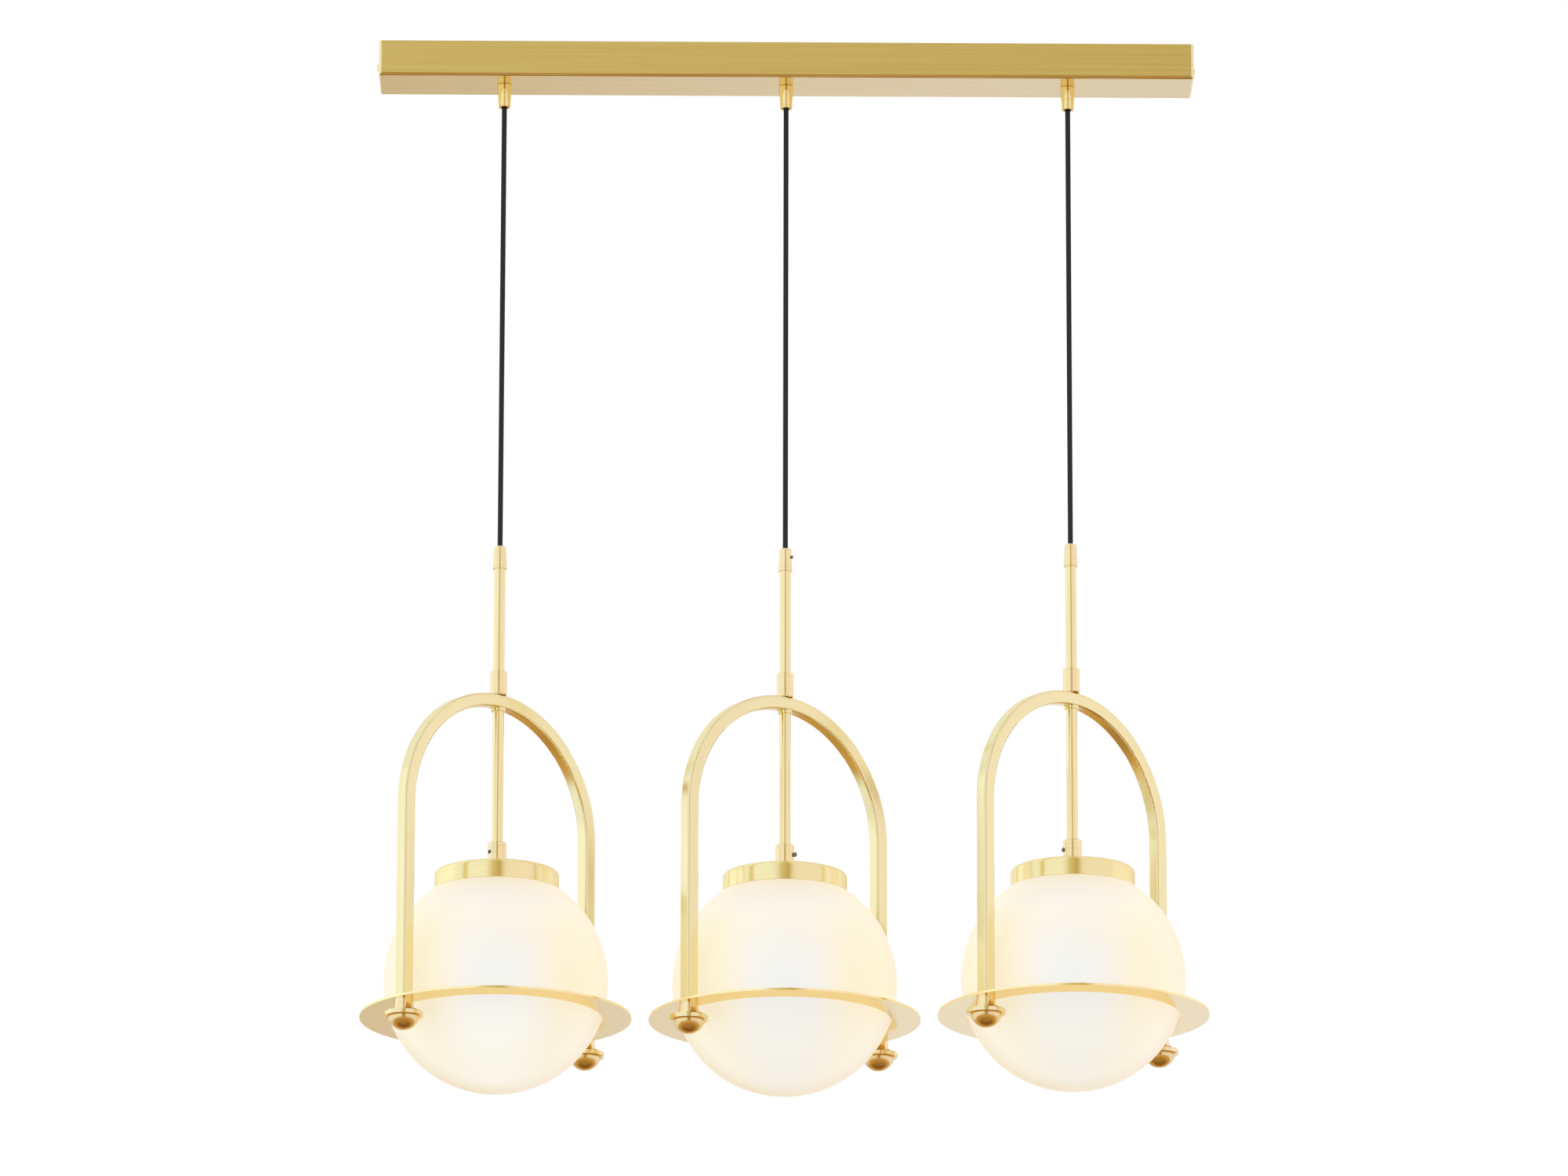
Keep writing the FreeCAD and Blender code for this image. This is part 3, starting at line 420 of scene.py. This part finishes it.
# Terminal block and earth stud. A moulded block of pale polyamide on the floor of the
# bar, with a slotted brass clamping screw down each of its three wells, and beside it
# the threaded stud for the earth wire.
moulding = Finish("block_polyamide", IOR=1.53)
speckle = moulding.noise(moulding.place(), (2200, 2200, 2200), 3)
cloud = moulding.noise(moulding.place(), (110, 110, 110), 2)
moulding.feed("Base Color", moulding.between(cloud, (0.74, 0.73, 0.69), (0.82, 0.81, 0.78)))
moulding.feed("Roughness", 0.42 + speckle * 0.16)
moulding.bump(speckle, 0.00002)
moulding.cover("terminal_block")
block_low, block_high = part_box("terminal_block")
well_spread, well_depth, slot_turn = 0.0065, 0.005, 0.5
clamp = Pattern(
    "clamping_screw", radius=0.0018, height=0.0032, slot_width=0.0005, slot_depth=0.0007,
    count=3, step=(0.0, well_spread, 0.0),
    first_place=((block_low.x + block_high.x) / 2, -well_spread, block_high.z - well_depth),
)
size = clamp.size
driver_slot = clamp.moved(
    clamp.block(size["radius"] * 2.2, size["slot_width"], size["slot_depth"] * 2.0),
    clamp.vector(0.0, 0.0, size["height"]),
    (0, 0, slot_turn),
)
clamp_screw = clamp.less(clamp.barrel(size["radius"], size["height"], 28), driver_slot)
clamps = clamp.in_a_row(clamp_screw, size["count"], size["step"])
clamp.end_with(clamp.moved(clamps, size["first_place"]), nut_metal)
clamp.make("clamping_screws", "canopy", "nut_brass")
stud_low, stud_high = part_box("earth_stud")
stud_middle = (stud_low + stud_high) / 2
stud_pitch, stud_nut_height, clear_of_nut = 0.0007, 0.0032, 0.0002
stud_run = stud_high.z - stud_low.z - stud_nut_height
thread_start = stud_low.z + stud_nut_height + clear_of_nut
thread.make(
    "earth_stud_thread", "canopy", "nut_brass", radius=0.002, pitch=stud_pitch, ridge=0.00018,
    count=1, turns=stud_run / stud_pitch - 0.5,
    first_place=(stud_middle.x, stud_middle.y, thread_start),
)


# Cords. Round black flex, braided over its sheath, pulled straight by the lamps; the
# supply ends run on in the bar and down each stem to the lamp holder.
def flex(name, centre):
    """Black braid: two crossing spirals of thread round the cord's own axis."""
    braid = Finish(name, Specular_IOR_Level=0.2)
    sideways, outwards, upwards = braid.apart(braid.place(centre))
    round_it = braid.maths("ARCTAN2", outwards, sideways)
    strands, climb = 8, 3600
    rising = braid.maths("SINE", round_it * strands + upwards * climb)
    falling = braid.maths("SINE", round_it * strands - upwards * climb)
    weave = braid.smooth(rising * falling, -0.7, 0.7)
    fibre = braid.noise(braid.place(), (3000, 3000, 900), 2)
    shade = weave * 0.5 + fibre * 0.5
    braid.feed("Base Color", braid.between(shade, (0.020, 0.027, 0.025), (0.028, 0.036, 0.034)))
    braid.feed("Roughness", 0.62 + fibre * 0.2)
    braid.bump(weave, 0.00001)
    return braid


end_stretch = 6 * cord_diameter
turning_room = 0.0011
for side in sides:
    cord_low, cord_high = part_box(side + "_cord")
    top, foot = cord_high.z - turning_room, cord_low.z + turning_room
    line = bpy.data.curves.new(side + "_pendant_cord", "CURVE")
    line.dimensions = "3D"
    line.bevel_depth = cord_diameter / 2
    line.bevel_resolution = 6
    line.resolution_u = 12
    line.use_fill_caps = True
    run = line.splines.new("NURBS")
    levels = [top, top - end_stretch, foot + end_stretch, foot]
    run.points.add(len(levels) - 1)
    for point, level in zip(run.points, levels):
        point.co = (across[side], 0, level, 1)
    run.order_u = 3
    run.use_endpoint_u = True
    cord = bpy.data.objects.new(side + "_pendant_cord", line)
    bpy.context.scene.collection.objects.link(cord)
    line.materials.append(flex(side + "_black_braid", (across[side], 0, 0)).material)
    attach(cord, side + "_line")
    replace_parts(cord, side + "_cord")
sheath = Finish("lead_black_sheath", Specular_IOR_Level=0.4)
rubbed = sheath.noise(sheath.place(), (700, 700, 700), 3)
sheath.feed("Base Color", sheath.between(rubbed, (0.012, 0.014, 0.014), (0.030, 0.034, 0.033)))
sheath.feed("Roughness", 0.45 + rubbed * 0.2)
sheath.bump(rubbed, 0.00002)
sheath.cover("supply_leads")
for side in sides:
    sheath.cover(side + "_inner_lead")


# Stem caps, couplers and collars. Solid brass turned in the lathe and polished, which
# leaves faint rings round the upright axis.
for side in sides:
    for part in ("_stem_cap", "_arch_coupler", "_gallery_coupler", "_finial_collars"):
        turned_metal.cover(side + part)


# Set screws. Small screws with a hexagon socket: a brass one in the cap, that holds the
# cord, and one of blackened steel in the gallery's coupler, that holds the stem.
steel = Finish("blackened_steel", Metallic=1.0)
scale = steel.noise(steel.place(), (2500, 2500, 2500), 3)
steel.feed("Base Color", steel.between(scale, (0.13, 0.12, 0.10), (0.28, 0.26, 0.21)))
steel.feed("Roughness", 0.26 + scale * 0.2)
steel.bump(scale, 0.00001)
grub = Pattern(
    "hexagon_socket_screw", radius=0.002, length=0.004, chamfer=0.0004,
    socket_radius=0.0011, socket_depth=0.0015, place=(0.0, 0.0, 0.0), turn=(0.0, 0.0, 0.0),
)
size = grub.size
rod = grub.raised(grub.barrel(size["radius"], size["length"]), 0 - size["length"])
# The cone that chamfers the rod's end runs past both of its ends, half a side round from it.
bevel_top = size["chamfer"] / 2.0
bevel_length = size["length"] * 1.5 + bevel_top
bevel_radius = size["radius"] - size["chamfer"] - bevel_top
bevel = grub.raised(
    grub.barrel(bevel_radius + bevel_length, bevel_length, 40, bevel_radius),
    bevel_top - bevel_length,
    (0, 0, math.pi / 40),
)
socket = grub.raised(
    grub.barrel(size["socket_radius"], size["socket_depth"] * 2.0, 6), 0 - size["socket_depth"]
)
bored = grub.less(grub.common(rod, bevel), socket)
grub.end_with(grub.moved(bored, size["place"], size["turn"]), steel)
cord_hole, stem_socket = 0.0024, 0.00505
stands_out = {
    "left_cap_screw": 0.0006,
    "middle_cap_screw": 0.0008,
    "right_cap_screw": 0.0006,
    "left_coupler_screw": 0.001,
    "middle_coupler_screw": 0.003,
    "right_coupler_screw": 0.0018,
}
for side in sides:
    for part, body, inner_end in (
        ("_cap_screw", "_cap", cord_hole),
        ("_coupler_screw", "_lamp", stem_socket),
    ):
        low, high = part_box(side + part)
        middle = (low + high) / 2
        angle = math.atan2(middle.y, middle.x - across[side])
        solid_end = 2 * math.hypot(middle.y, middle.x - across[side]) - inner_end
        outer_end = solid_end + stands_out[side + part]
        radius = (high.z - low.z) / 2
        screw = grub.make(
            side + part + "_with_socket", side + body, "screw_brass",
            radius=radius, length=outer_end - inner_end, chamfer=radius / 5,
            socket_radius=radius * 0.58, socket_depth=radius * 0.8,
            place=(
                across[side] + math.cos(angle) * outer_end,
                math.sin(angle) * outer_end,
                middle.z,
            ),
            turn=(0.0, math.pi / 2, angle),
        )
        if part == "_cap_screw":
            screw.data.materials[0] = turned_metal.material
        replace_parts(screw, side + part)


# Stems. Thin drawn brass tubes, polished along their length: the upper one carries the
# cap, the lower one hangs the glass from the arch.
tube_metal = brass(
    "drawn_brass_tube", (0.91, 0.775, 0.445), (0.885, 0.745, 0.41), 0.09,
    grain((3200, 3200, 18), 2), grain((600, 600, 7), 2), 0.000001, 0.03,
)
for side in sides:
    tube_metal.cover(side + "_upper_stem", side + "_lower_stem")


# Arches. Square brass tube bent to a half circle with two straight legs, brushed along
# its path, so the lines turn with the crown.
def along_arch(centre, turn, across_it, along_it, detail=3):
    """Lines along the tube, by cells to the metre across it and along its path."""

    def lines(metal):
        sideways, outwards, upwards = metal.apart(metal.place(centre, turn))
        above = metal.maths("MAXIMUM", upwards, 0.0)
        radius = metal.maths("SQRT", sideways * sideways + above * above)
        path = metal.add("ShaderNodeCombineXYZ", {}, [radius, outwards, upwards])
        return metal.noise(path, (across_it, across_it, along_it), detail)

    return lines


arch_reach = 0.1175
arch_angles = {"left": 44.9, "middle": 40.4, "right": 44.2}
for side in sides:
    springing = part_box(side + "_arch")[1].z - arch_reach
    bend = (across[side], 0, springing), math.radians(arch_angles[side])
    arch_metal = brass(
        side + "_arch_brass", (0.87, 0.77, 0.445), (0.84, 0.73, 0.41), 0.16,
        along_arch(*bend, 2800, 14), along_arch(*bend, 450, 6), 0.000004, 0.06,
    )
    arch_metal.cover(side + "_arch")


# Galleries and rings. The gallery is a spun cup over the neck of the glass, the ring a
# flat plate turned at its edges; both are brushed round the lamp's axis.
def rings_about(axis, fineness, detail=3):
    """Lines in rings about an upright axis, by cells to the metre."""

    def lines(metal):
        sideways, outwards, upwards = metal.apart(metal.place(axis))
        radius = metal.maths("SQRT", sideways * sideways + outwards * outwards)
        rings = metal.add("ShaderNodeCombineXYZ", {}, [radius, 0.0, upwards])
        return metal.noise(rings, (fineness, 1, fineness), detail)

    return lines


for side in sides:
    axis = (across[side], 0, 0)
    spun_metal = brass(
        side + "_spun_brass", (0.92, 0.79, 0.42), (0.89, 0.75, 0.38), 0.18,
        rings_about(axis, 3000), rings_about(axis, 500), 0.000004, 0.06,
    )
    spun_metal.cover(side + "_gallery")
    ring_metal = brass(
        side + "_ring_brass", (0.99, 0.84, 0.47), (0.97, 0.81, 0.445), 0.18,
        rings_about(axis, 2600), rings_about(axis, 300), 0.000004, 0.06,
    )
    ring_metal.cover(side + "_ring")


# Lamp holders and bulbs, inside the glass. A plain moulded holder on the coupler's
# spigot, with the screwed cap of a pearl bulb in it.
holder = Finish("holder_plastic", IOR=1.5)
skin = holder.noise(holder.place(), (1500, 1500, 1500), 3)
holder.feed("Base Color", holder.between(skin, (0.70, 0.69, 0.66), (0.78, 0.77, 0.74)))
holder.feed("Roughness", 0.4 + skin * 0.15)
pearl = Finish("pearl_bulb", Emission_Strength=1.0, IOR=1.5)
frost = pearl.noise(pearl.place(), (900, 900, 900), 2)
pearl.feed("Base Color", pearl.between(frost, (0.80, 0.78, 0.72), (0.90, 0.88, 0.84)))
pearl.feed("Emission Color", pearl.between(frost, (0.9, 0.8, 0.6), (1.0, 0.9, 0.7)))
pearl.feed("Roughness", 0.35 + frost * 0.2)
for side in sides:
    holder.cover(side + "_lamp_holder")
    pearl.cover(side + "_bulb")


# Globes. Blown opal glass with a satin skin, lit from inside. The colour of the glow
# paints light and shade on it: a cool centre, drawn out upright, that is partly thin
# glass seen square on and partly a painted reflection of the studio; a warmer rim where
# the glass is thicker; painted light on the lower half, set for each lamp apart; and
# painted shade at the top and round the outline.
globe_radius = 0.1
# Painted light: a brighter, cooler glow over the lower half of each globe, set for each lamp apart.
painted_lower_light = {
    "left": (0.81, 0.86, 0.85),
    "middle": (0.71, 0.755, 0.79),
    "right": (0.71, 0.755, 0.77),
}
for side in sides:
    opal = Finish(side + "_lit_opal_glass", IOR=1.5, Emission_Strength=1.0)
    centre = (across[side], 0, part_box(side + "_globe")[0].z + globe_radius)
    glow = opal.noise(opal.place(centre), (16, 16, 9), 1)
    height = opal.apart(opal.place(centre))[2] / globe_radius
    facing = opal.add("ShaderNodeLayerWeight", {}, {"Blend": 0.5}, "Facing")
    # The cool centre is partly thin glass seen square on and partly a painted reflection of the
    # studio, kept narrow above and below so that it stands upright.
    rim_width = opal.maths("MAXIMUM", 1 - opal.maths("ABSOLUTE", height + 0.2) * 1.1, 0.15)
    rim = opal.smooth(facing * rim_width + (glow - 0.5) * 0.03, -0.02, 0.17)
    rise = opal.smooth(height, -0.9, -0.1)
    centre_glow = opal.between(rise, painted_lower_light[side], (0.675, 0.69, 0.675))
    rim_glow = opal.between(rise, (0.78, 0.765, 0.655), (0.77, 0.685, 0.49))
    # Painted shade: the glow darkens towards the top and towards the outline, both into one darker,
    # warmer colour.
    painted_top_shade = opal.smooth(height, 0.4, 0.95)
    opal.feed("Base Color", opal.between(rim, (0.26, 0.26, 0.27), (0.26, 0.25, 0.23)))
    painted_outline_shade = opal.smooth(facing, 0.45, 0.95)
    painted_shade = opal.maths("MAXIMUM", painted_top_shade, painted_outline_shade)
    body_glow = opal.between(rim, centre_glow, rim_glow)
    opal.feed("Emission Color", opal.between(painted_shade, body_glow, (0.63, 0.54, 0.38)))
    satin = opal.noise(opal.place(centre), (2600, 2600, 2600), 2)
    opal.feed("Roughness", 0.36 + satin * 0.1)
    opal.bump(satin, 0.000015)
    opal.cover(side + "_globe")


# Ball screws. Half balls under the collars, turned from one piece with the shanks that
# go up through the ring into the legs, and left with a satin skin.
ball_metal = brass(
    "ball_brass", (0.90, 0.74, 0.42), (0.85, 0.67, 0.35), 0.20,
    grain((80, 80, 3600), 3), grain((120, 120, 420), 3), 0.00001, 0.08,
)
for side in sides:
    ball_metal.cover(side + "_ball_screws")


# Floor. A plain pale floor far below the pendant, outside the picture. It thins out to
# nothing well away from the pendant, so no edge of it shows from the side.
floor_level, floor_reach, fade_start, fade_end = -5.6, 30, 5, 24
floor_mesh = bpy.data.meshes.new("floor")
corners = [
    (x * floor_reach, y * floor_reach, floor_level) for x, y in ((-1, -1), (1, -1), (1, 1), (-1, 1))
]
floor_mesh.from_pydata(corners, [], [(0, 1, 2, 3)])
floor = bpy.data.objects.new("floor", floor_mesh)
bpy.context.scene.collection.objects.link(floor)
paint = Finish("pale_floor", Roughness=0.9)
mottle = paint.noise(paint.place(), (0.5, 0.5, 0.5))
paint.feed("Base Color", paint.between(mottle, (0.86, 0.86, 0.86), (0.90, 0.90, 0.90)))
sideways, outwards, upwards = paint.apart(paint.place())
far_off = paint.maths("SQRT", sideways * sideways + outwards * outwards)
paint.feed("Alpha", 1 - paint.smooth(far_off, fade_start, fade_end))
floor_mesh.materials.append(paint.material)
floor.visible_glossy = False
floor.visible_diffuse = False


# Studio light. White all round to the camera and past glass; what polished brass and
# matt pieces see is the same white room, darker and warmer by the camera and below.
room = bpy.data.worlds.new("studio")
bpy.context.scene.world = room
room.use_nodes = True
sky = Recipe(room.node_tree)
direction = sky.add("ShaderNodeTexCoord", {}, [], "Generated")
eastward, northward, upward = sky.apart(direction)
flat_reach = sky.maths("SQRT", eastward * eastward + northward * northward)
level_reach = sky.maths("MAXIMUM", flat_reach, 0.01)
to_the_right = eastward / level_reach
downward = 0 - upward
towards_camera = sky.smooth(0 - northward, 0.0, 0.2)
rig_left, rig_right = sky.smooth(to_the_right, -0.36, -0.04), sky.smooth(to_the_right, 0.12, 0.32)
rig = rig_left * (1 - rig_right) * towards_camera
tripod_left, tripod_right = (
    sky.smooth(to_the_right, 0.05, 0.10), sky.smooth(to_the_right, 0.11, 0.17)
)
level_tone = sky.between(
    tripod_left * (1 - tripod_right), (0.68, 0.565, 0.255), (0.40, 0.28, 0.07)
)
rig_tone = sky.between(sky.smooth(downward, -0.22, 0.06), level_tone, (0.38, 0.21, 0.06))
behind = sky.smooth(northward / level_reach, 0.5, 0.95) * sky.smooth(downward, -0.1, 0.2)
far_side = sky.smooth(to_the_right, -0.05, 0.03)
far_wall = sky.between(far_side, (0.68, 0.62, 0.60), (0.91, 0.97, 1.30))
right_side = sky.smooth(to_the_right, -0.3, 0.3)
walls = sky.between(right_side, (1.0, 1.06, 1.13), (0.97, 0.93, 0.97))
level_view = sky.between(rig, sky.between(behind, walls, far_wall), rig_tone)
below = sky.smooth(downward + sky.smooth(northward, 0.2, 0.8) * 0.08, 0.38, 0.58)
lower_view = sky.between(below, level_view, (0.64, 0.38, 0.115))
underfoot = sky.smooth(northward, -0.3, 0.4)
floor_tone = sky.between(underfoot, (0.40, 0.23, 0.06), (0.22, 0.10, 0.03))
studio = sky.between(sky.smooth(downward, 0.62, 0.90), lower_view, floor_tone)
white = sky.add("ShaderNodeBackground", {}, {"Color": (1, 1, 1, 1), "Strength": 1.0})
lit = sky.add("ShaderNodeBackground", {}, {"Color": studio, "Strength": 1.0})
paths = sky.add("ShaderNodeLightPath", {}, []).socket.node.outputs
straight, through_glass = [
    Signal(sky, paths[ray]) for ray in ("Is Camera Ray", "Is Transmission Ray")
]
seen = sky.maths("MAXIMUM", straight, through_glass)
mixed = sky.add("ShaderNodeMixShader", {}, [seen, lit, white])
surface = room.node_tree.nodes["World Output"].inputs["Surface"]
room.node_tree.links.new(mixed.socket, surface)
target = Vector((0, 0, -0.6))
softboxes = {
    "left_softbox": ((-2.6, 0.9, -0.2), (1.6, 2.6), 1.5),
    "right_softbox": ((2.6, 0.7, -0.2), (1.4, 2.6), 1.0),
}
for name, (place, (width, height), power) in softboxes.items():
    box = bpy.data.lights.new(name, "AREA")
    box.shape = "RECTANGLE"
    box.size, box.size_y = width, height
    box.energy = power
    lamp = bpy.data.objects.new(name, box)
    bpy.context.scene.collection.objects.link(lamp)
    lamp.location = place
    lamp.rotation_euler = (target - lamp.location).to_track_quat("-Z", "Z").to_euler()
bpy.context.scene.view_settings.view_transform = "Standard"
